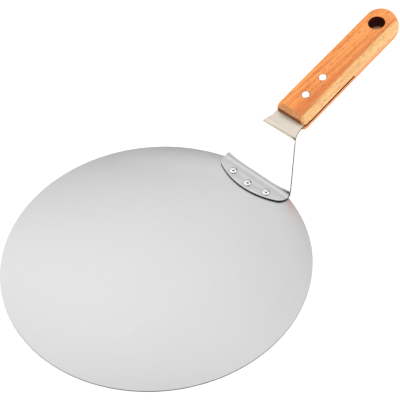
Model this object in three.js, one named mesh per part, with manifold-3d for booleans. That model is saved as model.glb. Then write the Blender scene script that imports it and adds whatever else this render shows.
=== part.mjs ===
// Pizza peel with a round steel blade, a cranked neck bracket and a turned wooden handle.
//
// Millimetres, +Z up. The origin is the centre of the blade's underside, which is the face
// the peel rests on. +Y runs from the blade towards the handle, and X runs across it.
// The peel is mirror-symmetric about the plane X = 0, and nothing on it moves.

import * as THREE from "three";
import { mergeVertices } from "three/addons/utils/BufferGeometryUtils.js";
import Module from "manifold-3d";

const wasm = await Module();
wasm.setup();

// Blade: a plain round disc of sheet steel.
const BLADE_RADIUS = 127;
const BLADE_THICKNESS = 1;
const BLADE_SIDES = 128;

// Neck bracket: one sheet blank, folded twice. The tongue is riveted to the blade, the neck
// rises steeply, and the tang runs on into the handle.
const SHEET = 1.5;
const FOLD_Y = 123;
const NECK_SLOPE = THREE.MathUtils.degToRad(53.8);
const NECK_LENGTH = 44.1;
const HANDLE_TILT = THREE.MathUtils.degToRad(12.9);
const LOWER_BEND_RADIUS = 9.5;
const UPPER_BEND_RADIUS = 10;
const TONGUE_HALF_WIDTH = 37.2;
const TONGUE_FRONT_Y = 103.5;
const TONGUE_FRONT_RADIUS = 70;
const TONGUE_CORNER_RADIUS = 10;
const FOLD_HALF_WIDTH = 36.8;
const NECK_TOP_HALF_WIDTH = 18.6;
const TANG_HALF_WIDTH = 15.2;
const TANG_SHOULDER_RADIUS = 23;
const TANG_BEFORE_HANDLE = 15;
const TANG_IN_HANDLE = 66.5;

// Domed rivets that hold the tongue to the blade: [name, x, y].
const RIVETS = [
  ["blade_rivet_left", -19.1, 112.5],
  ["blade_rivet_middle", 0, 109.9],
  ["blade_rivet_right", 19.1, 112.5],
];
const RIVET_HEAD_RADIUS = 3.5;
const RIVET_HEAD_HEIGHT = 2.4;
const RIVET_SHANK_RADIUS = 2;
const RIVET_TAIL_RECESS = 0.1;

// Handle: a turned round bar with a hemispherical tip, planed flat above and below.
const HANDLE_RADIUS = 16.4;
const HANDLE_THICKNESS = 20.2;
const HANDLE_LENGTH = 141.3;
const HANDLE_FRONT_BEVEL = 4;
const HANDLE_CORNER_RADIUS = 5;
const KERF_LENGTH = 68;
const KERF_HEIGHT = 2.1;
const HANGING_HOLE_RADIUS = 7.6;
const HANGING_HOLE_FROM_FRONT = 120.2;
const HANGING_HOLE_CHAMFER = 0.6;

// Straight pins through the handle and the tang, flush with both flats: [name, from front].
const PINS = [
  ["handle_pin_front", 22.6],
  ["handle_pin_rear", 45.5],
];
const PIN_RADIUS = 3.5;

// Clearances: SEAT_GAP between flat faces that rest on each other, HOLE_GAP round a shank.
const SEAT_GAP = 0.05;
const HOLE_GAP = 0.3;

// How finely curves are faceted: the sides of a round bar, and the steps along one arc.
const ROUND_SIDES = 28;
const ARC_STEPS = 10;
// How far a cutting solid reaches past what it cuts.
const OVERCUT = 5;
// Outline points nearer to each other than this are one point.
const SAME_POINT = 1e-6;

const STEEL = { color: 0xc3c5c7, metalness: 0.9, roughness: 0.4 };
const RIVET_STEEL = { color: 0xd2d4d6, metalness: 1, roughness: 0.2 };
const ALUMINIUM = { color: 0xe2e2e0, metalness: 0.9, roughness: 0.3 };
const WOOD = { color: 0xd88a4c, metalness: 0, roughness: 0.5 };

// A closed geometry becomes a manifold solid, without the empty triangles at a lathe's poles.
function solidFrom(geometry) {
  geometry.deleteAttribute("normal");
  geometry.deleteAttribute("uv");
  const merged = mergeVertices(geometry);
  const corners = merged.index.array;
  const triangles = [];
  for (let i = 0; i < corners.length; i += 3) {
    const [a, b, c] = corners.slice(i, i + 3);
    if (a !== b && b !== c && c !== a) triangles.push(a, b, c);
  }
  return new wasm.Manifold(new wasm.Mesh({
    numProp: 3,
    vertProperties: merged.attributes.position.array,
    triVerts: new Uint32Array(triangles),
  }));
}

function meshFrom(name, solid, finish) {
  const { vertProperties, triVerts } = solid.getMesh();
  const geometry = new THREE.BufferGeometry();
  geometry.setAttribute("position", new THREE.BufferAttribute(vertProperties, 3));
  geometry.setIndex(new THREE.BufferAttribute(triVerts, 1));
  geometry.computeVertexNormals();
  const mesh = new THREE.Mesh(geometry, new THREE.MeshStandardMaterial(finish));
  mesh.name = name;
  return mesh;
}

// A round bar along Z, centred on (x, y), from z = bottom to z = top.
function bar(radius, bottom, top, x = 0, y = 0) {
  const geometry = new THREE.CylinderGeometry(radius, radius, top - bottom, ROUND_SIDES);
  geometry.rotateX(Math.PI / 2);
  geometry.translate(x, y, (top + bottom) / 2);
  return geometry;
}

// A shape drawn in (Y, Z), extruded across the peel from -halfWidth to +halfWidth.
function extrudeAcross(shape, halfWidth) {
  const geometry = new THREE.ExtrudeGeometry(shape, {
    depth: 2 * halfWidth, bevelEnabled: false, curveSegments: ARC_STEPS,
  });
  const yToZToX = new THREE.Matrix4().makeBasis(
    new THREE.Vector3(0, 1, 0), new THREE.Vector3(0, 0, 1), new THREE.Vector3(1, 0, 0));
  geometry.applyMatrix4(yToZToX);
  geometry.translate(-halfWidth, 0, 0);
  return geometry;
}

// A plan outline drawn in (X, Y) as its right half only, mirrored and extruded along Z.
function extrudePlan(rightHalf, bottom, top) {
  const right = rightHalf.getPoints(ARC_STEPS);
  const left = right.map((p) => new THREE.Vector2(-p.x, p.y)).reverse();
  const outline = [...right, ...left].filter((p, i, all) => {
    return p.distanceTo(all[(i + 1) % all.length]) > SAME_POINT;
  });
  const geometry = new THREE.ExtrudeGeometry(new THREE.Shape(outline), {
    depth: top - bottom, bevelEnabled: false,
  });
  geometry.translate(0, 0, bottom);
  return geometry;
}

// Directions in the (Y, Z) plane: along a slope, and square to it on its upper side.
const along = (angle) => new THREE.Vector2(Math.cos(angle), Math.sin(angle));
const above = (angle) => new THREE.Vector2(-Math.sin(angle), Math.cos(angle));

// Corners of the bracket's upper surface, as if its two bends were sharp.
const TONGUE_UNDERSIDE = BLADE_THICKNESS + SEAT_GAP;
const TONGUE_TOP = TONGUE_UNDERSIDE + SHEET;
const lowerCorner = new THREE.Vector2(FOLD_Y, TONGUE_TOP);
const upperCorner = lowerCorner.clone().addScaledVector(along(NECK_SLOPE), NECK_LENGTH);

// The handle's frame: its origin is the centre of the front end, at the middle of the tang's
// thickness, with +Y along the handle and +Z square to its flats.
const handleFront = upperCorner.clone()
  .addScaledVector(along(HANDLE_TILT), TANG_BEFORE_HANDLE)
  .addScaledVector(above(HANDLE_TILT), -SHEET / 2);
const handleFrame = new THREE.Group();
handleFrame.position.set(0, handleFront.x, handleFront.y);
handleFrame.rotation.x = HANDLE_TILT;
handleFrame.updateMatrix();

function blade() {
  const disc = new THREE.CylinderGeometry(BLADE_RADIUS, BLADE_RADIUS, BLADE_THICKNESS, BLADE_SIDES);
  disc.rotateX(Math.PI / 2);
  disc.translate(0, 0, BLADE_THICKNESS / 2);
  return meshFrom("blade", cutRivetHoles(solidFrom(disc)), STEEL);
}

function cutRivetHoles(solid) {
  for (const [, x, y] of RIVETS) {
    const hole = bar(RIVET_SHANK_RADIUS + HOLE_GAP, -OVERCUT, TONGUE_TOP + OVERCUT, x, y);
    solid = solid.subtract(solidFrom(hole));
  }
  return solid;
}

// Side view of the folded sheet: tongue, lower bend, neck, upper bend and tang.
function bracketProfile() {
  const lowerCentre = new THREE.Vector2(
    lowerCorner.x - LOWER_BEND_RADIUS * Math.tan(NECK_SLOPE / 2), TONGUE_TOP + LOWER_BEND_RADIUS);
  const upperSetback = UPPER_BEND_RADIUS * Math.tan((NECK_SLOPE - HANDLE_TILT) / 2);
  const upperCentre = upperCorner.clone()
    .addScaledVector(along(NECK_SLOPE), -upperSetback)
    .addScaledVector(above(NECK_SLOPE), -UPPER_BEND_RADIUS);
  const tangEnd = upperCorner.clone()
    .addScaledVector(along(HANDLE_TILT), TANG_BEFORE_HANDLE + TANG_IN_HANDLE);
  const tangEndUnderside = tangEnd.clone().addScaledVector(above(HANDLE_TILT), -SHEET);
  const quarter = Math.PI / 2;
  const start = TONGUE_FRONT_Y - OVERCUT;

  const profile = new THREE.Shape();
  profile.moveTo(start, TONGUE_UNDERSIDE);
  profile.absarc(lowerCentre.x, lowerCentre.y, LOWER_BEND_RADIUS + SHEET,
    -quarter, NECK_SLOPE - quarter, false);
  profile.absarc(upperCentre.x, upperCentre.y, UPPER_BEND_RADIUS - SHEET,
    NECK_SLOPE + quarter, HANDLE_TILT + quarter, true);
  profile.lineTo(tangEndUnderside.x, tangEndUnderside.y);
  profile.lineTo(tangEnd.x, tangEnd.y);
  profile.absarc(upperCentre.x, upperCentre.y, UPPER_BEND_RADIUS,
    HANDLE_TILT + quarter, NECK_SLOPE + quarter, false);
  profile.absarc(lowerCentre.x, lowerCentre.y, LOWER_BEND_RADIUS,
    NECK_SLOPE - quarter, -quarter, true);
  profile.lineTo(start, TONGUE_TOP);
  return profile;
}

// Plan view of the folded sheet: rounded tongue, tapering neck, and shoulders into the tang.
function bracketPlan() {
  const frontCentreY = TONGUE_FRONT_Y + TONGUE_FRONT_RADIUS;
  const cornerX = TONGUE_HALF_WIDTH - TONGUE_CORNER_RADIUS;
  const cornerReach = TONGUE_FRONT_RADIUS - TONGUE_CORNER_RADIUS;
  const cornerY = frontCentreY - Math.sqrt(cornerReach ** 2 - cornerX ** 2);
  const cornerAngle = Math.atan2(cornerY - frontCentreY, cornerX);

  const blankTaper = (FOLD_HALF_WIDTH - NECK_TOP_HALF_WIDTH) / NECK_LENGTH;
  const tangTaper = blankTaper / Math.cos(HANDLE_TILT);
  const shoulderAngle = Math.atan(tangTaper);
  const shoulderCentreY = upperCorner.x + (NECK_TOP_HALF_WIDTH - TANG_HALF_WIDTH) / tangTaper
    + TANG_SHOULDER_RADIUS * Math.tan(shoulderAngle / 2);
  const tangEndY = upperCorner.x + TANG_BEFORE_HANDLE + TANG_IN_HANDLE + OVERCUT;

  const half = new THREE.Path();
  half.absarc(0, frontCentreY, TONGUE_FRONT_RADIUS, -Math.PI / 2, cornerAngle, false);
  half.absarc(cornerX, cornerY, TONGUE_CORNER_RADIUS, cornerAngle, 0, false);
  half.lineTo(FOLD_HALF_WIDTH, lowerCorner.x);
  half.lineTo(NECK_TOP_HALF_WIDTH, upperCorner.x);
  half.absarc(TANG_HALF_WIDTH + TANG_SHOULDER_RADIUS, shoulderCentreY, TANG_SHOULDER_RADIUS,
    Math.PI + shoulderAngle, Math.PI, true);
  half.lineTo(TANG_HALF_WIDTH, tangEndY);
  return half;
}

function neckBracket() {
  const folded = solidFrom(extrudeAcross(bracketProfile(), TONGUE_HALF_WIDTH + OVERCUT));
  const top = handleFront.y + HANDLE_LENGTH;
  let solid = folded.intersect(solidFrom(extrudePlan(bracketPlan(), -OVERCUT, top)));
  for (const [, fromFront] of PINS) {
    const hole = bar(PIN_RADIUS + HOLE_GAP, -OVERCUT, OVERCUT, 0, fromFront);
    solid = solid.subtract(solidFrom(hole.applyMatrix4(handleFrame.matrix)));
  }
  return meshFrom("neck_bracket", cutRivetHoles(solid), STEEL);
}

// A snap-headed rivet: shank through tongue and blade, tail dressed flush underneath.
function bladeRivet(name, x, y) {
  const seat = TONGUE_TOP + SEAT_GAP;
  const profile = new THREE.Path();
  profile.moveTo(0, RIVET_TAIL_RECESS);
  profile.lineTo(RIVET_SHANK_RADIUS, RIVET_TAIL_RECESS);
  profile.lineTo(RIVET_SHANK_RADIUS, seat);
  profile.absellipse(0, seat, RIVET_HEAD_RADIUS, RIVET_HEAD_HEIGHT, 0, Math.PI / 2, false, 0);
  const turned = new THREE.LatheGeometry(profile.getPoints(ARC_STEPS), ROUND_SIDES);
  turned.rotateX(Math.PI / 2);
  turned.translate(x, y, 0);
  return meshFrom(name, solidFrom(turned), RIVET_STEEL);
}

// The turned bar in the handle's frame, its axis along +Y.
function turnedBar() {
  const tipCentre = HANDLE_LENGTH - HANDLE_RADIUS;
  const profile = new THREE.Path();
  profile.moveTo(0, 0);
  profile.lineTo(HANDLE_RADIUS, 0);
  profile.absarc(0, tipCentre, HANDLE_RADIUS, 0, Math.PI / 2, false);
  return new THREE.LatheGeometry(profile.getPoints(ARC_STEPS), 2 * ROUND_SIDES);
}

// Side view that planes the two flats and bevels both front edges.
function flatsProfile() {
  const half = HANDLE_THICKNESS / 2;
  const end = HANDLE_LENGTH + OVERCUT;
  const profile = new THREE.Shape();
  profile.moveTo(0, HANDLE_FRONT_BEVEL - half);
  profile.lineTo(HANDLE_FRONT_BEVEL, -half);
  profile.lineTo(end, -half);
  profile.lineTo(end, half);
  profile.lineTo(HANDLE_FRONT_BEVEL, half);
  profile.lineTo(0, half - HANDLE_FRONT_BEVEL);
  return profile;
}

// Plan view that rounds the two upright corners of the front end.
function frontCornersPlan() {
  const half = new THREE.Path();
  half.moveTo(0, 0);
  half.absarc(HANDLE_RADIUS - HANDLE_CORNER_RADIUS, HANDLE_CORNER_RADIUS, HANDLE_CORNER_RADIUS,
    -Math.PI / 2, 0, false);
  half.lineTo(HANDLE_RADIUS + OVERCUT, HANDLE_CORNER_RADIUS);
  half.lineTo(HANDLE_RADIUS + OVERCUT, HANDLE_LENGTH + OVERCUT);
  return half;
}

// The hanging hole's cutter, wider at both faces to break the wood's edge.
function hangingHole() {
  const half = HANDLE_THICKNESS / 2;
  const wide = HANGING_HOLE_RADIUS + HANGING_HOLE_CHAMFER + OVERCUT;
  const profile = [
    [0, -half - OVERCUT],
    [wide, -half - OVERCUT],
    [HANGING_HOLE_RADIUS, HANGING_HOLE_CHAMFER - half],
    [HANGING_HOLE_RADIUS, half - HANGING_HOLE_CHAMFER],
    [wide, half + OVERCUT],
    [0, half + OVERCUT],
  ].map(([r, y]) => new THREE.Vector2(r, y));
  const cutter = new THREE.LatheGeometry(profile, ROUND_SIDES);
  cutter.rotateX(Math.PI / 2);
  cutter.translate(0, HANGING_HOLE_FROM_FRONT, 0);
  return cutter;
}

function handle() {
  const half = HANDLE_THICKNESS / 2;
  const kerf = new THREE.BoxGeometry(2 * HANDLE_RADIUS + OVERCUT, KERF_LENGTH + OVERCUT, KERF_HEIGHT);
  kerf.translate(0, (KERF_LENGTH - OVERCUT) / 2, 0);
  let solid = solidFrom(turnedBar())
    .intersect(solidFrom(extrudeAcross(flatsProfile(), HANDLE_RADIUS + OVERCUT)))
    .intersect(solidFrom(extrudePlan(frontCornersPlan(), -half - OVERCUT, half + OVERCUT)))
    .subtract(solidFrom(kerf))
    .subtract(solidFrom(hangingHole()));
  for (const [, fromFront] of PINS) {
    const hole = bar(PIN_RADIUS + HOLE_GAP, -half - OVERCUT, half + OVERCUT, 0, fromFront);
    solid = solid.subtract(solidFrom(hole));
  }
  return meshFrom("handle", solid, WOOD);
}

function handlePin(name, fromFront) {
  const half = HANDLE_THICKNESS / 2;
  return meshFrom(name, solidFrom(bar(PIN_RADIUS, -half, half, 0, fromFront)), ALUMINIUM);
}

const peel = new THREE.Group();
peel.add(blade(), neckBracket());
for (const [name, x, y] of RIVETS) peel.add(bladeRivet(name, x, y));
handleFrame.add(handle());
for (const [name, fromFront] of PINS) handleFrame.add(handlePin(name, fromFront));
peel.add(handleFrame);

export default peel;
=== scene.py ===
from math import atan, atan2, cos, pi, radians, sin, sqrt, tan

import bmesh
import bpy
from mathutils import Matrix, Vector


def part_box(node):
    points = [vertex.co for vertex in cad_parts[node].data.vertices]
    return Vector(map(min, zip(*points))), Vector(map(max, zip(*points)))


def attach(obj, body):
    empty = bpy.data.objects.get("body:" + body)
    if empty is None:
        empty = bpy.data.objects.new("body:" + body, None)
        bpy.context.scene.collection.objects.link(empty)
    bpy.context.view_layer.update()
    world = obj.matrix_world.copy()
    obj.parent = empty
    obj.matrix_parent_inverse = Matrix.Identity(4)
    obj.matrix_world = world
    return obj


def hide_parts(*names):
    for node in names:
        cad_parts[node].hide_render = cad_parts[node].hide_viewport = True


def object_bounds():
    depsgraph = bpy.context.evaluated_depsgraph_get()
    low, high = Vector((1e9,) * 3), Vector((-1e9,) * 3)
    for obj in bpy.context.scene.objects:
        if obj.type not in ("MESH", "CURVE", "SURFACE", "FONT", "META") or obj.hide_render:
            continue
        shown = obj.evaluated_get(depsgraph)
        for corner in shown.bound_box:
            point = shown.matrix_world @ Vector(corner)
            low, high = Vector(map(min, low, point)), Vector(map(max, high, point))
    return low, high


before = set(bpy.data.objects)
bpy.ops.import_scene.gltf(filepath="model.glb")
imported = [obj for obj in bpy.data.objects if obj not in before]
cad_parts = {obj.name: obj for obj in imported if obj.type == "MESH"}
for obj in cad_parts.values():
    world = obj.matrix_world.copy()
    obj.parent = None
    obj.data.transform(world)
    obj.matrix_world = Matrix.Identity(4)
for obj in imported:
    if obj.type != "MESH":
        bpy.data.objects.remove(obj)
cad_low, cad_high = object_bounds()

# ---------------------------------------------------------------------------------------------
# Camera: a short telephoto standing to the right of the blade's front edge and looking down on
# the peel at about 48 degrees, so that the handle runs away to the upper right.
AZIMUTH = radians(46.5)
ELEVATION = radians(47.737)
ROLL = radians(-2.873)
STAND_OFF = Vector((0.035692, 0.046597, 0.834485))
LENS = 92

camera = bpy.data.objects.new("camera", bpy.data.cameras.new("camera"))
camera.data.lens = LENS
facing = Matrix.Rotation(AZIMUTH, 4, "Z") @ Matrix.Rotation(pi / 2 - ELEVATION, 4, "X")
turned = facing @ Matrix.Rotation(ROLL, 4, "Z")
camera.matrix_world = turned @ Matrix.Translation(STAND_OFF)
bpy.context.scene.collection.objects.link(camera)
bpy.context.scene.camera = camera

# ---------------------------------------------------------------------------------------------
# Studio: a white sweep on the floor under an even white sky, with a soft lamp from the right.
# Metal mirrors a richer sky, dim at the back and paler overhead, with one bright window low in
# front on the left and a dark boom nearly overhead.
FLOOR_SIZE = 12
FLOOR_DROP = 0.0004
FLOOR_WHITE = 0.93
FLOOR_GLOW = 0.25
FLOOR_ROUGHNESS = 0.9
SKY = 1.12
MIRRORED_SKY = 2.4
# Degrees round from the front horizon, over the top, to the back: how bright the sky is there.
SKY_BANDS = [(50, 0.60), (58, 0.40), (67, 0.30), (75, 0.36), (84, 0.50), (93, 0.56), (103, 0.53),
             (110, 0.50), (115, 0.45), (120, 0.41), (128, 0.45), (142, 0.34), (158, 0.10)]
WINDOW_WAY = Vector((-0.457, -0.762, 0.458))
WINDOW_EDGE = radians(28), radians(21)
BOOM_TURN = radians(-46)
BOOM_PLACE = (0.2, -0.19, 0)
BOOM_HALF = (0.3, 0.55, 1000)
BOOM_EDGE = 0.85, 1.15
BOOM_GLOW = 0.01
LAMP_SIZE = 0.8
LAMP_ENERGY = 5
LAMP_COLOUR = (1, 0.96, 0.9)
LAMP_PLACE = Vector((1.3, 0.5, 0.6))

scene = bpy.context.scene
scene.view_settings.view_transform = "Standard"
scene.world = bpy.data.worlds.new("sky")
scene.world.use_nodes = True
sky_tree = scene.world.node_tree
even_sky = sky_tree.nodes["Background"]
even_sky.inputs["Color"].default_value = (1, 1, 1, 1)
even_sky.inputs["Strength"].default_value = SKY


def add(tree, kind, wires=None, **settings):
    """A node with its settings, and its inputs wired to sockets or set to values by name."""
    node = tree.nodes.new(kind)
    for key, value in settings.items():
        setattr(node, key, value)
    for key, value in (wires or {}).items():
        if isinstance(value, bpy.types.NodeSocket):
            tree.links.new(value, node.inputs[key])
        else:
            node.inputs[key].default_value = value
    return node


def maths(tree, operation, *values):
    return add(tree, "ShaderNodeMath", dict(enumerate(values)), operation=operation).outputs[0]


def between(tree, value, low, high, out_low=0, out_high=1):
    """A value carried smoothly from one range to another, and held at its ends."""
    wires = {"Value": value, "From Min": low, "From Max": high, "To Min": out_low, "To Max": out_high}
    return add(tree, "ShaderNodeMapRange", wires, interpolation_type="SMOOTHSTEP").outputs[0]


way = add(sky_tree, "ShaderNodeTexCoord").outputs["Generated"]
split_way = add(sky_tree, "ShaderNodeSeparateXYZ", {0: way}).outputs
turn_back = maths(sky_tree, "ARCTAN2", split_way["Z"], maths(sky_tree, "MULTIPLY", split_way["Y"], -1))
bands = add(sky_tree, "ShaderNodeValToRGB", {0: maths(sky_tree, "DIVIDE", turn_back, pi)})
bands.color_ramp.interpolation = "EASE"
stops = bands.color_ramp.elements
for degrees_round, grey in SKY_BANDS[1:-1]:
    stops.new(degrees_round / 180).color = (grey, grey, grey, 1)
for stop, (degrees_round, grey) in ((stops[0], SKY_BANDS[0]), (stops[-1], SKY_BANDS[-1])):
    stop.position = degrees_round / 180
    stop.color = (grey, grey, grey, 1)
to_window = add(sky_tree, "ShaderNodeVectorMath", {0: way, 1: WINDOW_WAY.normalized()},
                operation="DOT_PRODUCT").outputs["Value"]
window = between(sky_tree, to_window, cos(WINDOW_EDGE[0]), cos(WINDOW_EDGE[1]))
lit = maths(sky_tree, "MAXIMUM", bands.outputs[0], window)
boom_wires = {"Vector": way, "Location": BOOM_PLACE, "Scale": BOOM_HALF, "Rotation": (0, 0, BOOM_TURN)}
boom_frame = add(sky_tree, "ShaderNodeMapping", boom_wires, vector_type="TEXTURE")
from_boom = add(sky_tree, "ShaderNodeVectorMath", {0: boom_frame.outputs[0]}, operation="LENGTH")
boom = between(sky_tree, from_boom.outputs["Value"], *BOOM_EDGE, BOOM_GLOW, 1)
strength = maths(sky_tree, "MULTIPLY", maths(sky_tree, "MULTIPLY", lit, boom), MIRRORED_SKY)
mirrored_sky = add(sky_tree, "ShaderNodeBackground", {"Color": (1, 1, 1, 1), "Strength": strength})
which_sky = add(sky_tree, "ShaderNodeMixShader", {
    0: add(sky_tree, "ShaderNodeLightPath").outputs["Is Glossy Ray"],
    1: even_sky.outputs[0], 2: mirrored_sky.outputs[0]})
sky_tree.links.new(which_sky.outputs[0], sky_tree.nodes["World Output"].inputs["Surface"])

floor_shape = bmesh.new()
bmesh.ops.create_grid(floor_shape, x_segments=1, y_segments=1, size=FLOOR_SIZE / 2)
bmesh.ops.translate(floor_shape, vec=(0, 0, -FLOOR_DROP), verts=floor_shape.verts)
floor = bpy.data.objects.new("floor", bpy.data.meshes.new("floor"))
floor_shape.to_mesh(floor.data)
floor_paint = bpy.data.materials.new("floor_paint")
floor_paint.use_nodes = True
floor_shader = floor_paint.node_tree.nodes["Principled BSDF"]
floor_shader.inputs["Base Color"].default_value = (FLOOR_WHITE, FLOOR_WHITE, FLOOR_WHITE, 1)
floor_shader.inputs["Roughness"].default_value = FLOOR_ROUGHNESS
floor_shader.inputs["Emission Color"].default_value = (1, 1, 1, 1)
floor_shader.inputs["Emission Strength"].default_value = FLOOR_GLOW
floor.data.materials.append(floor_paint)
scene.collection.objects.link(floor)

side_lamp = bpy.data.objects.new("side_lamp", bpy.data.lights.new("side_lamp", "AREA"))
side_lamp.data.size = LAMP_SIZE
side_lamp.data.energy = LAMP_ENERGY
side_lamp.data.color = LAMP_COLOUR
side_lamp.location = LAMP_PLACE
to_peel = (cad_low + cad_high) / 2 - LAMP_PLACE
side_lamp.rotation_euler = to_peel.to_track_quat("-Z", "Y").to_euler()
scene.collection.objects.link(side_lamp)

# ---------------------------------------------------------------------------------------------
# Blade: a disc of thin stainless sheet, blanked by a die and tumbled, so that its rim is broken
# but not rounded. Three holes take the rivets. Its rolled surface is satin with faint scratches.
MM = 0.001
SHARP_DEGREES = 60
SMOOTH_UP_TO = radians(40)
SQUARE_ON = 0.99999
BREAK_SEGMENTS = 2
UPRIGHT = 0.5
RIM_BAND = 1
RIM_BREAK = 0.1
RIM_SIDES = 256
HOLE_SIDES = 32
SHANK_RADIUS = 2
SHANK_ROOM = 0.1
UP = Vector((0, 0, 1))
RIVET_NODES = ["blade_rivet_left", "blade_rivet_middle", "blade_rivet_right"]


def centre_mm(node):
    low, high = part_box(node)
    return (low + high) / (2 * MM)


def flat_ring(shape, radius, place, sides, stretch=1):
    """The edges of a circle lying level at a place, stretched along Y if it will be tilted."""
    matrix = Matrix.Translation(place) @ Matrix.Diagonal((1, stretch, 1, 1))
    made = bmesh.ops.create_circle(shape, radius=radius, segments=sides, matrix=matrix)
    return list({edge for vert in made["verts"] for edge in vert.link_edges})


def bevel(shape, edges, width):
    bmesh.ops.bevel(shape, geom=edges, offset=width, segments=BREAK_SEGMENTS, profile=0.5,
                    affect="EDGES", material=-1, clamp_overlap=False)


def sharp_edges(shape):
    return [e for e in shape.edges if e.is_manifold and e.calc_face_angle() > radians(SHARP_DEGREES)]


def make_piece(name, shape, materials, nodes, flat_ways=()):
    """Turns a shape in millimetres into a piece that stands for its CAD nodes. Faces square to
    one of flat_ways are shaded flat, so that a broken edge doesn't bend their highlights."""
    bmesh.ops.recalc_face_normals(shape, faces=shape.faces)
    for face in shape.faces:
        face.smooth = not any(abs(face.normal.dot(way)) > SQUARE_ON for way in flat_ways)
    bmesh.ops.scale(shape, vec=(MM, MM, MM), verts=shape.verts)
    piece = bpy.data.objects.new(name, bpy.data.meshes.new(name))
    shape.to_mesh(piece.data)
    piece.data.set_sharp_from_angle(angle=SMOOTH_UP_TO)
    for material in materials:
        piece.data.materials.append(material)
    scene.collection.objects.link(piece)
    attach(piece, "root")
    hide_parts(*nodes)
    return piece


def blank_material(name):
    material = bpy.data.materials.new(name)
    material.use_nodes = True
    return material, material.node_tree, material.node_tree.nodes["Principled BSDF"]


def mix_colour(tree, amount, first, second, blend="MIX"):
    node = add(tree, "ShaderNodeMix", data_type="RGBA", blend_type=blend)
    for socket, value in zip((node.inputs[0], node.inputs[6], node.inputs[7]), (amount, first, second)):
        if isinstance(value, bpy.types.NodeSocket):
            tree.links.new(value, socket)
        else:
            socket.default_value = value
    return node.outputs[2]


def stretched_noise(tree, scale, turn=0, detail=4, where=None):
    """Noise on the piece's own coordinates, stretched by a different scale along each axis."""
    where = where or add(tree, "ShaderNodeTexCoord").outputs["Object"]
    mapped = add(tree, "ShaderNodeMapping", {"Vector": where, "Rotation": (0, 0, turn), "Scale": scale})
    wires = {"Vector": mapped.outputs[0], "Scale": 1, "Detail": detail}
    return add(tree, "ShaderNodeTexNoise", wires).outputs[0]


def relief(tree, shader, height, strength, depth):
    """Bumps on the surface: how strongly they tilt it, and how deep they are in metres."""
    bump = add(tree, "ShaderNodeBump", {"Height": height, "Strength": strength, "Distance": depth})
    tree.links.new(bump.outputs[0], shader.inputs["Normal"])


SHEET_GRAIN = (2600, 55, 55)
SHEET_CLOUDS = (22, 22, 22)
SHEET_TONE = 0.35, 0.65
HAIRLINES = (1500, 14, 14)
HAIRLINE_TURNS = (0.5, 1.9, 2.7)
HAIRLINE_DEPTH = 0.76, 0.8
HAIRLINE_SHOWS = 0.3
HAIRLINE_COLOUR = (0.8, 0.8, 0.8, 1)
HAIRLINE_SMOOTHER = -0.06
ROUGHNESS_SPREAD = -0.05, 0.06
FILM_METAL = 0.2


def satin_steel(name, dark, light, roughness, grain_turn, reflection_tint_and_film=None):
    """Rolled stainless sheet: fine grain one way, cloudy tone, and a few hairline scratches. Above a
    height it may carry a warm tint painted in as a reflection, and higher up a dull, less metallic
    layer: reflection_tint_and_film is (tint start, tint end, dull end, tint)."""
    material, tree, shader = blank_material(name)
    grain = stretched_noise(tree, SHEET_GRAIN, grain_turn)
    clouds = stretched_noise(tree, SHEET_CLOUDS, detail=2)
    tone = maths(tree, "ADD", maths(tree, "MULTIPLY", grain, 0.7), maths(tree, "MULTIPLY", clouds, 0.3))
    sheet = mix_colour(tree, between(tree, tone, *SHEET_TONE), (*dark, 1), (*light, 1))
    scratches = None
    for turn in HAIRLINE_TURNS:
        hair = between(tree, stretched_noise(tree, HAIRLINES, turn, detail=1), *HAIRLINE_DEPTH)
        scratches = hair if scratches is None else maths(tree, "MAXIMUM", scratches, hair)
    shown = maths(tree, "MULTIPLY", scratches, HAIRLINE_SHOWS)
    bright = mix_colour(tree, shown, sheet, HAIRLINE_COLOUR)
    shader.inputs["Metallic"].default_value = 1
    if reflection_tint_and_film:
        tint_start, tint_end, film_end, tint = reflection_tint_and_film
        height_up = add(tree, "ShaderNodeSeparateXYZ",
                        {0: add(tree, "ShaderNodeTexCoord").outputs["Object"]}).outputs["Z"]
        # Painted reflection: above TINT_START the sheet is tinted warm in place of a warm reflection.
        bright = mix_colour(tree, between(tree, height_up, tint_start, tint_end), bright,
                            mix_colour(tree, 1, bright, (*tint, 1), "MULTIPLY"))
        tree.links.new(between(tree, height_up, tint_end, film_end, 1, FILM_METAL),
                       shader.inputs["Metallic"])
    tree.links.new(bright, shader.inputs["Base Color"])
    smoothest, roughest = (roughness + spread for spread in ROUGHNESS_SPREAD)
    rough = maths(tree, "ADD", between(tree, tone, 0.3, 0.7, smoothest, roughest),
                  maths(tree, "MULTIPLY", scratches, HAIRLINE_SMOOTHER))
    tree.links.new(rough, shader.inputs["Roughness"])
    height = maths(tree, "SUBTRACT", grain, scratches)
    relief(tree, shader, height, 0.04, 0.00006)
    return material


SHEAR_TEARS = (900, 900, 90)
# Painted shade: the cut edges are coloured nearly black, darkening the blade's rim and the bracket's
# edges.
SHADED_EDGE_DARK = (0.004, 0.004, 0.004, 1)
SHADED_EDGE_LIGHT = (0.03, 0.03, 0.031, 1)
SHEAR_ROUGHNESS = 0.5


def shaded_sheared_steel(name):
    """The cut edge of a sheet, streaked through its thickness by the die, and coloured nearly black as
    painted shade.
    """
    material, tree, shader = blank_material(name)
    tears = stretched_noise(tree, SHEAR_TEARS)
    tree.links.new(mix_colour(tree, tears, SHADED_EDGE_DARK, SHADED_EDGE_LIGHT), shader.inputs["Base Color"])
    relief(tree, shader, tears, 0.3, 0.0001)
    shader.inputs["Metallic"].default_value = 1
    shader.inputs["Roughness"].default_value = SHEAR_ROUGHNESS
    return material


BLADE_DARK = (0.635, 0.635, 0.64)
BLADE_LIGHT = (0.67, 0.67, 0.675)
BLADE_ROUGHNESS = 0.34

shaded_cut_edge = shaded_sheared_steel("shaded_cut_edge")
blade_sheet = satin_steel("blade_sheet", BLADE_DARK, BLADE_LIGHT, BLADE_ROUGHNESS, 0)

blade_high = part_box("blade")[1]
blade_radius = blade_high.x / MM
blade_thickness = blade_high.z / MM

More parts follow.
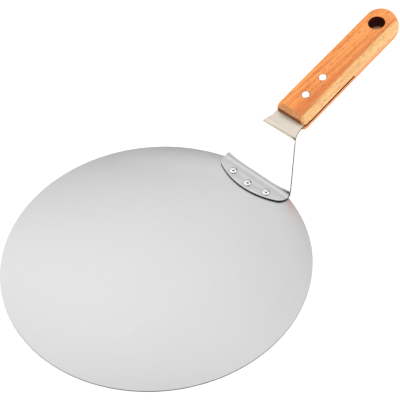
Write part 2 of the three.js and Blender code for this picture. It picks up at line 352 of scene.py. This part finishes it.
disc = bmesh.new()
flat_ring(disc, blade_radius, (0, 0, 0), RIM_SIDES)
for node in RIVET_NODES:
    at = centre_mm(node)
    flat_ring(disc, SHANK_RADIUS + SHANK_ROOM, (at.x, at.y, 0), HOLE_SIDES)
bmesh.ops.triangle_fill(disc, use_beauty=True, edges=disc.edges)
raised = bmesh.ops.extrude_face_region(disc, geom=disc.faces[:])["geom"]
bmesh.ops.translate(disc, vec=(0, 0, blade_thickness),
                    verts=[v for v in raised if isinstance(v, bmesh.types.BMVert)])
bmesh.ops.recalc_face_normals(disc, faces=disc.faces)
# Upright faces take the cut edge, coloured nearly black as painted shade.
for face in disc.faces:
    face.material_index = int(abs(face.normal.z) < UPRIGHT)
rim = [e for e in sharp_edges(disc) if e.verts[0].co.xy.length > blade_radius - RIM_BAND]
bevel(disc, rim, RIM_BREAK)
make_piece("blade_disc", disc, [blade_sheet, shaded_cut_edge], ["blade"], [UP])

# ---------------------------------------------------------------------------------------------
# Neck bracket: one blank of thicker stainless sheet, folded twice in a press. Its wide tongue
# lies on the blade, its neck tapers as it climbs, and its narrow tang runs into the handle. A warm
# tint is painted on the tang as a reflection, and above it the sheet turns dull and less metallic.
SHEET = 1.5
FOLD_Y = 123
NECK_SLOPE = radians(53.8)
NECK_LENGTH = 44.1
TILT = radians(12.9)
LOWER_BEND = 9.5
UPPER_BEND = 10
TONGUE_HALF = 37.2
TONGUE_ARC = 70
TONGUE_CORNER = 10
FOLD_HALF = 36.8
NECK_TOP_HALF = 18.6
TANG_HALF = 15.2
SHOULDER = 23
BEND_STEPS = 24
CURVE_STEPS = 14
SHEET_BREAK = 0.1
PIN_RADIUS = 3.5
PIN_ROOM = 0.3
BRACKET_DARK = (0.52, 0.52, 0.52)
BRACKET_LIGHT = (0.57, 0.57, 0.57)
BRACKET_ROUGHNESS = 0.22
# Painted reflection on the tang: where its warm tint starts, and the tint itself.
TINT_START = 0.030
TINT_END = 0.038
FILM_END = 0.041
WARM_REFLECTION_TINT = (1.22, 1.10, 0.93)
SIDEWAYS = 0.3
EDGE_ON = 0.6
CUT_NEAR = 0.0001
ON_AXIS = 1e-6

bracket_low, bracket_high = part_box("neck_bracket")
tongue_front = bracket_low.y / MM
tongue_top = bracket_low.z / MM + SHEET
corner_y = FOLD_Y + NECK_LENGTH * cos(NECK_SLOPE)
corner_z = tongue_top + NECK_LENGTH * sin(NECK_SLOPE)
lower_y = FOLD_Y - LOWER_BEND * tan(NECK_SLOPE / 2)
setback = UPPER_BEND * tan((NECK_SLOPE - TILT) / 2)
upper_y = corner_y - setback * cos(NECK_SLOPE) + UPPER_BEND * sin(NECK_SLOPE)
upper_z = corner_z - setback * sin(NECK_SLOPE) - UPPER_BEND * cos(NECK_SLOPE)


def fold(y):
    """Height of the folded sheet's upper surface at y, and its slope there."""
    if y <= lower_y:
        return tongue_top, 0
    if y < lower_y + LOWER_BEND * sin(NECK_SLOPE):
        reach = (y - lower_y) / LOWER_BEND
        return tongue_top + LOWER_BEND * (1 - sqrt(1 - reach ** 2)), atan2(reach, sqrt(1 - reach ** 2))
    if y < upper_y - UPPER_BEND * sin(NECK_SLOPE):
        return tongue_top + (y - FOLD_Y) * tan(NECK_SLOPE), NECK_SLOPE
    if y < upper_y - UPPER_BEND * sin(TILT):
        reach = (upper_y - y) / UPPER_BEND
        return upper_z + UPPER_BEND * sqrt(1 - reach ** 2), atan2(reach, sqrt(1 - reach ** 2))
    return corner_z + (y - corner_y) * tan(TILT), TILT


def arc(x, y, radius, start, end, steps):
    """Points along an arc, both ends among them."""
    turns = [start + (end - start) * i / steps for i in range(steps + 1)]
    return [(x + radius * cos(turn), y + radius * sin(turn)) for turn in turns]


def outline_ring(shape, right_half, height):
    """The edges of a level outline given by its right half, from the front round to the back."""
    left_half = [(-x, y) for x, y in reversed(right_half) if x > ON_AXIS]
    verts = [shape.verts.new((x, y, height)) for x, y in right_half + left_half]
    return [shape.edges.new(pair) for pair in zip(verts, verts[1:] + verts[:1])]


front_centre = tongue_front + TONGUE_ARC
tongue_corner_x = TONGUE_HALF - TONGUE_CORNER
tongue_corner_y = front_centre - sqrt((TONGUE_ARC - TONGUE_CORNER) ** 2 - tongue_corner_x ** 2)
corner_turn = atan2(tongue_corner_y - front_centre, tongue_corner_x)
tang_taper = (FOLD_HALF - NECK_TOP_HALF) / NECK_LENGTH / cos(TILT)
shoulder_turn = atan(tang_taper)
shoulder_y = (corner_y + (NECK_TOP_HALF - TANG_HALF) / tang_taper
              + SHOULDER * tan(shoulder_turn / 2))
tang_end = bracket_high.y / MM

sheet = bmesh.new()
outline_ring(sheet, arc(0, front_centre, TONGUE_ARC, -pi / 2, corner_turn, CURVE_STEPS)[:-1]
             + arc(tongue_corner_x, tongue_corner_y, TONGUE_CORNER, corner_turn, 0, CURVE_STEPS)
             + [(FOLD_HALF, FOLD_Y), (NECK_TOP_HALF, corner_y)]
             + arc(TANG_HALF + SHOULDER, shoulder_y, SHOULDER, pi + shoulder_turn, pi, CURVE_STEPS)
             + [(TANG_HALF, tang_end)], 0)
for node in RIVET_NODES:
    at = centre_mm(node)
    flat_ring(sheet, SHANK_RADIUS + SHANK_ROOM, (at.x, at.y, 0), HOLE_SIDES)
for node in ("handle_pin_front", "handle_pin_rear"):
    flat_ring(sheet, PIN_RADIUS + PIN_ROOM, (0, centre_mm(node).y, 0), HOLE_SIDES, cos(TILT))
bmesh.ops.triangle_fill(sheet, use_beauty=True, edges=sheet.edges)
for step in range(BEND_STEPS + 1):
    lower_turn = NECK_SLOPE * step / BEND_STEPS
    upper_turn = TILT + (NECK_SLOPE - TILT) * step / BEND_STEPS
    for station in (lower_y + LOWER_BEND * sin(lower_turn), upper_y - UPPER_BEND * sin(upper_turn)):
        bmesh.ops.bisect_plane(sheet, geom=sheet.verts[:] + sheet.edges[:] + sheet.faces[:],
                               dist=CUT_NEAR, plane_co=(0, station, 0), plane_no=(0, 1, 0))
upper_verts = sheet.verts[:]
lowered = bmesh.ops.extrude_face_region(sheet, geom=sheet.faces[:])["geom"]
lower_verts = [v for v in lowered if isinstance(v, bmesh.types.BMVert)]
for vert in upper_verts:
    vert.co.z = fold(vert.co.y)[0]
for vert in lower_verts:
    height, slope = fold(vert.co.y)
    vert.co = (vert.co.x, vert.co.y + SHEET * sin(slope), height - SHEET * cos(slope))
bmesh.ops.recalc_face_normals(sheet, faces=sheet.faces)
# The sheet's edges take the cut edge, coloured nearly black as painted shade.
for face in sheet.faces:
    slope = fold(face.calc_center_median().y)[1]
    is_edge = abs(face.normal.dot((0, -sin(slope), cos(slope)))) < EDGE_ON
    face.material_index = int(abs(face.normal.x) > SIDEWAYS or is_edge)
bevel(sheet, sharp_edges(sheet), SHEET_BREAK)
flat_ways = [Vector((0, -sin(turn), cos(turn))) for turn in (0, NECK_SLOPE, TILT)]
bracket_sheet = satin_steel("bracket_sheet", BRACKET_DARK, BRACKET_LIGHT, BRACKET_ROUGHNESS, pi / 2,
                            (TINT_START, TINT_END, FILM_END, WARM_REFLECTION_TINT))
make_piece("folded_bracket", sheet, [bracket_sheet, shaded_cut_edge], ["neck_bracket"],
           flat_ways)

# ---------------------------------------------------------------------------------------------
# Rivets: three bright steel snap-head rivets. Each is set from above, and its tail is spread
# into the blade and dressed level with the underside.
HEAD_SEAT = 0.05
TAIL_RECESS = 0.1
TURN_STEPS = 48
DOME_STEPS = 10
WELD = 0.0005
RIVET_PATCHES = (600, 600, 600)
RIVET_DULL = (0.62, 0.62, 0.63, 1)
RIVET_BRIGHT = (0.82, 0.82, 0.83, 1)
RIVET_ROUGHNESS = 0.08, 0.15


def turned_shape(profile, place, tilt=0):
    """A profile of (radius, height) points spun about its own axis, then stood at a place."""
    shape = bmesh.new()
    verts = [shape.verts.new((radius, 0, height)) for radius, height in profile]
    for pair in zip(verts, verts[1:]):
        shape.edges.new(pair)
    bmesh.ops.spin(shape, geom=shape.verts[:] + shape.edges[:], cent=(0, 0, 0), axis=(0, 0, 1),
                   angle=2 * pi, steps=TURN_STEPS, use_merge=True)
    bmesh.ops.remove_doubles(shape, verts=shape.verts, dist=WELD)
    bmesh.ops.transform(shape, verts=shape.verts,
                        matrix=Matrix.Translation(place) @ Matrix.Rotation(tilt, 4, "X"))
    return shape


def rivet_steel():
    """Cold-headed steel, bright from barrel polishing, with slight dull patches."""
    material, tree, shader = blank_material("bright_rivet")
    patches = stretched_noise(tree, RIVET_PATCHES)
    tree.links.new(mix_colour(tree, patches, RIVET_DULL, RIVET_BRIGHT), shader.inputs["Base Color"])
    tree.links.new(between(tree, patches, 0.3, 0.7, *RIVET_ROUGHNESS), shader.inputs["Roughness"])
    shader.inputs["Metallic"].default_value = 1
    return material


bright_rivet = rivet_steel()
head_seat = tongue_top + HEAD_SEAT
for node in RIVET_NODES:
    at = centre_mm(node)
    rivet_low, rivet_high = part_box(node)
    head_radius = (rivet_high.x - rivet_low.x) / (2 * MM)
    head_top = rivet_high.z / MM
    dome = [(head_radius * cos(turn), head_seat + (head_top - head_seat) * sin(turn))
            for turn in [pi / 2 * i / DOME_STEPS for i in range(DOME_STEPS)]]
    profile = [(0, TAIL_RECESS), (SHANK_RADIUS, TAIL_RECESS), (SHANK_RADIUS, head_seat), *dome,
               (0, head_top)]
    make_piece(node + "_turned", turned_shape(profile, (at.x, at.y, 0)), [bright_rivet],
               [node])

# ---------------------------------------------------------------------------------------------
# Handle: a turned bar of oiled hardwood, planed flat above and below and bored at its round end
# to hang up. Its front end is bevelled, and a saw kerf along its middle takes the tang.
HANDLE_RADIUS = 16.4
HANDLE_THICK = 20.2
HANDLE_LENGTH = 141.3
FRONT_BEVEL = 4
FRONT_CORNER = 4
KERF = 2.1
KERF_LENGTH = 68
HANG_RADIUS = 7.6
HANG_FROM_FRONT = 120.2
HANG_BREAK = 0.6
ARRIS = 0.5
ARRIS_STEPS = 3
WALL_STEPS = 12
TIP_STEPS = 32
HANG_SIDES = 64
FRONT_PIN_FROM_FRONT = 22.6
NEAR = 0.001
ON_PLANE = 0.01
IN_BORE = 0.1
NEARLY_UPRIGHT = 0.1
FACING_FRONT = -0.6

half_thick = HANDLE_THICK / 2
tip_centre = HANDLE_LENGTH - HANDLE_RADIUS
handle_way = Vector((0, cos(TILT), sin(TILT)))
handle_front = centre_mm("handle_pin_front") - handle_way * FRONT_PIN_FROM_FRONT
pin_places = [(centre_mm(node) - handle_front).dot(handle_way)
              for node in ("handle_pin_front", "handle_pin_rear")]


def handle_outline(height, inset):
    """Right half of the handle's outline at a height above its middle, up to the kerf's end,
    and the rest of it from there round the tip."""
    half = sqrt(HANDLE_RADIUS ** 2 - height ** 2) - inset
    front = max(0, height - (half_thick - FRONT_BEVEL)) + inset
    front_part = [(0, front)] + arc(half - FRONT_CORNER, front + FRONT_CORNER, FRONT_CORNER,
                                    -pi / 2, 0, CURVE_STEPS)
    rear_part = [(half, KERF_LENGTH)] + arc(0, tip_centre, half, 0, pi / 2, TIP_STEPS)
    return front_part, rear_part


def bridge(shape, *rings):
    for lower, upper in zip(rings, rings[1:]):
        bmesh.ops.bridge_loops(shape, edges=lower + upper)


def rear_edges(ring):
    return [e for e in ring if min(v.co.y for v in e.verts) > KERF_LENGTH - NEAR]


wall = [(KERF / 2 + (half_thick - ARRIS - KERF / 2) * i / WALL_STEPS, 0) for i in range(WALL_STEPS)]
eased = [(half_thick - ARRIS * (1 - sin(turn)), ARRIS * (1 - cos(turn)))
         for turn in [pi / 2 * i / ARRIS_STEPS for i in range(ARRIS_STEPS + 1)]]
bevel_start = half_thick - FRONT_BEVEL
levels = sorted(wall + eased + [(bevel_start, 0)])

bar = bmesh.new()
rings = []
for height, inset in levels:
    front_part, rear_part = handle_outline(height, inset)
    rings.append(outline_ring(bar, front_part + rear_part, height))
bridge(bar, *rings)

# The solid wood behind the kerf, down to the middle plane, and the kerf's blind end.
middle_points = handle_outline(0, 0)[1]
left_points = [(-x, y) for x, y in reversed(middle_points) if x > ON_AXIS]
middle_verts = [bar.verts.new((x, y, 0)) for x, y in middle_points + left_points]
middle_ring = [bar.edges.new(pair) for pair in zip(middle_verts, middle_verts[1:])]
bridge(bar, middle_ring, rear_edges(rings[0]))
roof_verts = {v for e in rings[0] for v in e.verts if abs(v.co.y - KERF_LENGTH) < NEAR}
roof_right, roof_left = sorted(roof_verts, key=lambda v: -v.co.x)
bar.faces.new((middle_verts[0], roof_right, roof_left, middle_verts[-1]))
blind_end = bar.edges.get((roof_right, roof_left))

hang_levels = [(0, HANG_RADIUS), (half_thick - HANG_BREAK, HANG_RADIUS),
               (half_thick - HANG_BREAK / 3, HANG_RADIUS + HANG_BREAK / 3),
               (half_thick, HANG_RADIUS + HANG_BREAK)]
hang_rings = [flat_ring(bar, radius, (0, HANG_FROM_FRONT, height), HANG_SIDES)
              for height, radius in hang_levels]
bridge(bar, *hang_rings)
pin_rings = [[flat_ring(bar, PIN_RADIUS + PIN_ROOM, (0, place, height), HOLE_SIDES)
              for height in (KERF / 2, half_thick)] for place in pin_places]
for lower, upper in pin_rings:
    bridge(bar, lower, upper)

top_edges = rings[-1] + hang_rings[-1] + [e for _, upper in pin_rings for e in upper]
bmesh.ops.triangle_fill(bar, use_beauty=True, edges=top_edges)
front_edges = [e for e in rings[0] if e not in rear_edges(rings[0])]
roof_edges = front_edges + [blind_end] + [e for lower, _ in pin_rings for e in lower]
bmesh.ops.triangle_fill(bar, use_beauty=True, edges=roof_edges)
bmesh.ops.mirror(bar, geom=bar.verts[:] + bar.edges[:] + bar.faces[:], matrix=Matrix.Identity(4),
                 merge_dist=NEAR, axis="Z")
bmesh.ops.remove_doubles(bar, verts=bar.verts, dist=NEAR)

# Which tool left each face: 0 planed and turned, 1 sawn across the front (painted shade on its
# flat end), 2 drilled in the bore and sawn in the kerf (painted shade, with painted light deep in the
# bore).
bmesh.ops.recalc_face_normals(bar, faces=bar.faces)
for face in bar.faces:
    middle = face.calc_center_median()
    from_hole = sqrt(middle.x ** 2 + (middle.y - HANG_FROM_FRONT) ** 2)
    upright = abs(face.normal.z) < NEARLY_UPRIGHT
    in_kerf = abs(abs(middle.z) - KERF / 2) < ON_PLANE
    at_blind_end = upright and abs(middle.y - KERF_LENGTH) < ON_PLANE
    if middle.y < FRONT_BEVEL and face.normal.y < FACING_FRONT:
        face.material_index = 1
    elif (from_hole < HANG_RADIUS + IN_BORE and upright) or in_kerf or at_blind_end:
        face.material_index = 2
bmesh.ops.transform(bar, verts=bar.verts,
                    matrix=Matrix.Translation(handle_front) @ Matrix.Rotation(TILT, 4, "X"))


def along_handle(tree):
    """Millimetres in the handle's own frame: across it, along it from the front, and up."""
    shift = -(Matrix.Rotation(-TILT, 3, "X") @ handle_front)
    where = add(tree, "ShaderNodeTexCoord").outputs["Object"]
    return add(tree, "ShaderNodeMapping", {
        "Vector": where, "Location": shift, "Rotation": (-TILT, 0, 0),
        "Scale": (1 / MM, 1 / MM, 1 / MM)}).outputs[0]


GRAIN_TURN = radians(3)
GRAIN_HINGE = 120
HEART_OUT = 40
SWAY = 6
RING_PITCH = 1.15
WANDER = (0.06, 0.012, 0.06)
STREAKS = (0.42, 0.016, 0.42)
FIBRES = (2.6, 0.05, 2.6)
PORES = (2.1, 0.22, 2.1)
DARK_BAND = 48.5, 52.0
# Partly painted light: the yellow on the upper right side is sap wood's colour, lightened by painted
# light from the right.
SAP_AND_LIT_SIDE = 11.2, 12.6
SAP_AND_LIT_ABOVE = -2.0, 1.0
HEART_DARK = (0.69, 0.198, 0.036, 1)
HEART_LIGHT = (0.94, 0.338, 0.078, 1)
BAND_COLOUR = (0.62, 0.155, 0.028, 1)
SAP_LIT_DARK = (0.61, 0.305, 0.104, 1)
SAP_LIT_LIGHT = (0.76, 0.445, 0.17, 1)
PORE_COLOUR = (0.20, 0.055, 0.012, 1)
PORE_DEPTH = 0.60, 0.66
PORE_SHOWS = 0.7
BAND_SHOWS = 0.65
WOOD_ROUGHNESS = 0.42, 0.56


def oiled_hardwood():
    """Reddish heartwood with darker streaks and short open pores. The grain runs a few degrees
    off the handle, so a dark band widens towards the front. The right side's upper part is yellow:
    the colour of sap wood, with painted light from the right on top of it."""
    material, tree, shader = blank_material("oiled_hardwood")
    handle_split = add(tree, "ShaderNodeSeparateXYZ", {0: along_handle(tree)}).outputs
    grain = add(tree, "ShaderNodeMapping", {
        "Vector": along_handle(tree), "Rotation": (0, 0, GRAIN_TURN),
        "Location": (GRAIN_HINGE * sin(GRAIN_TURN), 0, 0)}).outputs[0]
    split = add(tree, "ShaderNodeSeparateXYZ", {0: grain}).outputs
    wander = stretched_noise(tree, WANDER, detail=3, where=grain)
    sway = maths(tree, "MULTIPLY", maths(tree, "SUBTRACT", wander, 0.5), SWAY)
    heart_x = maths(tree, "ADD", maths(tree, "ADD", split[0], HEART_OUT), sway)
    from_heart = maths(tree, "SQRT", maths(tree, "ADD", maths(tree, "MULTIPLY", heart_x, heart_x),
                                           maths(tree, "MULTIPLY", split[2], split[2])))
    ring = maths(tree, "SINE", maths(tree, "MULTIPLY", from_heart, RING_PITCH))
    streaks = stretched_noise(tree, STREAKS, detail=6, where=grain)
    fibres = stretched_noise(tree, FIBRES, detail=3, where=grain)
    figure = maths(tree, "ADD", maths(tree, "MULTIPLY", ring, 0.03),
                   maths(tree, "ADD", maths(tree, "MULTIPLY", streaks, 0.65),
                         maths(tree, "MULTIPLY", fibres, 0.35)))
    heartwood = mix_colour(tree, between(tree, figure, 0.36, 0.60), HEART_DARK, HEART_LIGHT)
    dark_band = between(tree, from_heart, *DARK_BAND)
    heartwood = mix_colour(tree, maths(tree, "MULTIPLY", dark_band, BAND_SHOWS), heartwood, BAND_COLOUR)
    lit_sapwood = mix_colour(tree, between(tree, figure, 0.38, 0.60), SAP_LIT_DARK, SAP_LIT_LIGHT)
    to_side = maths(tree, "ADD", handle_split[0], maths(tree, "MULTIPLY", sway, 0.4))
    yellow = maths(tree, "MULTIPLY", between(tree, to_side, *SAP_AND_LIT_SIDE),
                   between(tree, handle_split[2], *SAP_AND_LIT_ABOVE))
    wood = mix_colour(tree, yellow, heartwood, lit_sapwood)
    pores = stretched_noise(tree, PORES, detail=2, where=grain)
    open_pore = between(tree, pores, *PORE_DEPTH)
    pored = mix_colour(tree, maths(tree, "MULTIPLY", open_pore, PORE_SHOWS), wood, PORE_COLOUR)
    tree.links.new(pored, shader.inputs["Base Color"])
    tree.links.new(between(tree, streaks, 0.3, 0.7, *WOOD_ROUGHNESS), shader.inputs["Roughness"])
    height = maths(tree, "SUBTRACT", maths(tree, "MULTIPLY", streaks, 0.3), open_pore)
    relief(tree, shader, height, 0.35, 0.0002)
    return material


SAW_FLECK = (0.9, 1.4, 1.4)
CROSS_DARK = (0.43, 0.172, 0.061, 1)
CROSS_LIGHT = (0.72, 0.33, 0.135, 1)
# Painted shade: the flat end is coloured far darker than the bevels, partly for its end grain and
# partly for the shade it stands in.
SHADED_END_DARK = (0.12, 0.045, 0.014, 1)
SHADED_END_LIGHT = (0.26, 0.11, 0.04, 1)
SHADED_END_SPAN = 0.25, 0.05
SAWN_ROUGHNESS = 0.8
SAWN_GLOSS = 0.15


def sawn_wood():
    """The front end: brown cross-grain on the bevels, and darker still on the flat end: darker end
    grain, deepened by painted shade.
    """
    material, tree, shader = blank_material("sawn_end_grain")
    split = add(tree, "ShaderNodeSeparateXYZ", {0: along_handle(tree)}).outputs
    fleck = stretched_noise(tree, SAW_FLECK, detail=4, where=along_handle(tree))
    cross_grain = mix_colour(tree, between(tree, fleck, 0.38, 0.62), CROSS_DARK, CROSS_LIGHT)
    shaded_end_face = mix_colour(tree, fleck, SHADED_END_DARK, SHADED_END_LIGHT)
    tree.links.new(mix_colour(tree, between(tree, split[1], *SHADED_END_SPAN), cross_grain, shaded_end_face),
                   shader.inputs["Base Color"])
    relief(tree, shader, fleck, 0.4, 0.0003)
    shader.inputs["Roughness"].default_value = SAWN_ROUGHNESS
    shader.inputs["Specular IOR Level"].default_value = SAWN_GLOSS
    return material


BORE_FLECK = (0.5, 0.5, 1.6)
# Painted shade: the near-black walls of the bore, the kerf and its blind end.
BORE_SHADE_DARK = (0.018, 0.002, 0.001, 1)
BORE_SHADE_LIGHT = (0.07, 0.010, 0.004, 1)
# Painted light: a paler patch deep in the bore, where light bounces up from below.
BOUNCE_LIGHT_COLOUR = (0.62, 0.31, 0.15, 1)
BOUNCE_DEPTH = -2.5, -6.0
BOUNCE_FROM_FRONT = 90, 100
BOUNCE_SHOWS = 0.8
BORE_ROUGHNESS = 0.9
BORE_GLOSS = 0.1


def shaded_bore_and_kerf():
    """The walls of the bore and the kerf, coloured near-black as painted shade, with a paler patch
    painted deep in the bore as light bounced up from below."""
    material, tree, shader = blank_material("shaded_bore_and_kerf")
    split = add(tree, "ShaderNodeSeparateXYZ", {0: along_handle(tree)}).outputs
    fleck = stretched_noise(tree, BORE_FLECK, detail=4, where=along_handle(tree))
    painted_shade = mix_colour(tree, fleck, BORE_SHADE_DARK, BORE_SHADE_LIGHT)
    bounce_patch = maths(tree, "MULTIPLY", between(tree, split[2], *BOUNCE_DEPTH),
                  between(tree, split[1], *BOUNCE_FROM_FRONT))
    tree.links.new(mix_colour(tree, maths(tree, "MULTIPLY", bounce_patch, BOUNCE_SHOWS), painted_shade, BOUNCE_LIGHT_COLOUR),
                   shader.inputs["Base Color"])
    relief(tree, shader, fleck, 0.4, 0.0003)
    shader.inputs["Roughness"].default_value = BORE_ROUGHNESS
    shader.inputs["Specular IOR Level"].default_value = BORE_GLOSS
    return material


handle_up = Vector((0, -sin(TILT), cos(TILT)))
make_piece("turned_handle", bar, [oiled_hardwood(), sawn_wood(), shaded_bore_and_kerf()],
           ["handle"], [handle_up, handle_way])

# ---------------------------------------------------------------------------------------------
# Handle pins: two solid aluminium pins driven through the wood and the tang, then sanded level
# with the flats, which leaves fine scratches across their ends.
PIN_BREAK = 0.25
SANDING_LINES = (3200, 160, 160)
PIN_DARK = (0.80, 0.80, 0.79, 1)
PIN_LIGHT = (0.96, 0.96, 0.95, 1)
PIN_ROUGHNESS = 0.28, 0.42


def sanded_aluminium():
    """Aluminium sanded along the handle."""
    material, tree, shader = blank_material("sanded_aluminium")
    lines = stretched_noise(tree, SANDING_LINES)
    tree.links.new(mix_colour(tree, lines, PIN_DARK, PIN_LIGHT), shader.inputs["Base Color"])
    tree.links.new(between(tree, lines, 0.3, 0.7, *PIN_ROUGHNESS), shader.inputs["Roughness"])
    relief(tree, shader, lines, 0.1, 0.00005)
    shader.inputs["Metallic"].default_value = 1
    return material


pin_metal = sanded_aluminium()
for node in ("handle_pin_front", "handle_pin_rear"):
    profile = [(0, -half_thick), (PIN_RADIUS - PIN_BREAK, -half_thick),
               (PIN_RADIUS, PIN_BREAK - half_thick), (PIN_RADIUS, half_thick - PIN_BREAK),
               (PIN_RADIUS - PIN_BREAK, half_thick), (0, half_thick)]
    make_piece(node + "_turned", turned_shape(profile, centre_mm(node), TILT), [pin_metal],
               [node], [handle_up])
